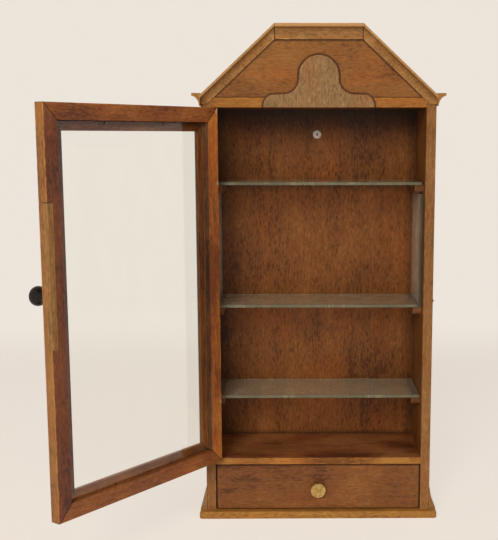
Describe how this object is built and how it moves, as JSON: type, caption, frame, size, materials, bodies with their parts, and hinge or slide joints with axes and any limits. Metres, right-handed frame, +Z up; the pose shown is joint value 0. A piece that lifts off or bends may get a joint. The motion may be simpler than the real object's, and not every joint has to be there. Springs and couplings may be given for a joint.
{
  "type": "miniature display cabinet",
  "caption": "Small display cabinet for miniatures with a glazed hinged door, glass shelves, arched side windows, a drawer and a trapezoid pediment.",
  "frame": {"origin": "middle of the base board's underside", "axes": "+X to the right seen from the front, +Y from the open front to the back panel, +Z up"},
  "size_m": [0.3628, 0.2611, 0.488],
  "materials": {
    "side_wood": "waxed, red-brown",
    "back_wood": "thin stain",
    "base_wood": "waxed",
    "shelf_space_wood": "stained",
    "rail_wood": "waxed, light",
    "roof_wood": "stained",
    "pediment_wood": "waxed",
    "bell_wood": "waxed",
    "moulding_wood": "waxed, golden brown",
    "cleat_wood": "stained",
    "shelf_glass": "clear sheet glass, greenish at its edges",
    "pane_glass": "clear sheet glass, greenish at its edges",
    "door_wood": "waxed, red-brown",
    "patch_wood": "bare repair",
    "door_glass": "clear sheet glass, greenish at its edges",
    "knob_wood": "polished, nearly black",
    "drawer_front_wood": "waxed, red-brown",
    "drawer_box_wood": "bare",
    "brass": "aged",
    "hinge_steel": "dull",
    "screw_steel": "dull",
    "pin_steel": "dull"
  },
  "bodies": {
    "cabinet": {"left_side": "side_wood", "right_side": "side_wood", "back_panel": "back_wood", "base_board": "base_wood", "base_flare_left": "base_wood", "base_flare_right": "base_wood", "floor_board": "shelf_space_wood", "ceiling_board": "shelf_space_wood", "top_rail": "rail_wood", "roof_flat": "roof_wood", "roof_slope_left": "roof_wood", "roof_slope_right": "roof_wood", "pediment_panel": "pediment_wood", "bell_applique": "bell_wood", "top_moulding": "moulding_wood", "rake_moulding_left": "moulding_wood", "rake_moulding_right": "moulding_wood", "side_cornice_left": "moulding_wood", "side_cornice_right": "moulding_wood", "cleat_upper_left": "cleat_wood", "cleat_upper_right": "cleat_wood", "cleat_middle_left": "cleat_wood", "cleat_middle_right": "cleat_wood", "cleat_lower_left": "cleat_wood", "cleat_lower_right": "cleat_wood", "glass_shelf_upper": "shelf_glass", "glass_shelf_middle": "shelf_glass", "glass_shelf_lower": "shelf_glass", "window_pane_left": "pane_glass", "window_pane_right": "pane_glass", "hinge_lower_side_leaf": "hinge_steel", "hinge_lower_pin": "hinge_steel", "hinge_upper_side_leaf": "hinge_steel", "hinge_upper_pin": "hinge_steel", "hinge_screws_side": "screw_steel", "back_screw": "screw_steel", "back_nut": "screw_steel", "hanging_plate": "screw_steel", "cleat_pins": "pin_steel", "catch_pin": "pin_steel"},
    "door": {"door_stile_hinge": "door_wood", "door_stile_free": "door_wood", "door_rail_top": "door_wood", "door_rail_bottom": "door_wood", "stile_patch": "patch_wood", "door_glass": "door_glass", "glazing_sprigs": "pin_steel", "door_knob": "knob_wood", "hinge_lower_door_leaf": "hinge_steel", "hinge_upper_door_leaf": "hinge_steel", "hinge_screws_door": "screw_steel"},
    "drawer": {"drawer_front": "drawer_front_wood", "drawer_side_left": "drawer_box_wood", "drawer_side_right": "drawer_box_wood", "drawer_back": "drawer_box_wood", "drawer_floor": "drawer_box_wood", "drawer_pins": "pin_steel", "drawer_knob": "brass", "drawer_knob_nut": "brass"}
  },
  "joints": [
    {"name": "door_hinge", "type": "hinge", "parent": "cabinet", "child": "door", "pos_m": [-0.1042, -0.0411, 0.236], "axis": [0, 0, 1], "range_deg": [-45, 126.9]},
    {"name": "drawer_slide", "type": "slide", "parent": "cabinet", "child": "drawer", "axis": [0, -1, 0], "range_m": [0, 0.06]}
  ]
}
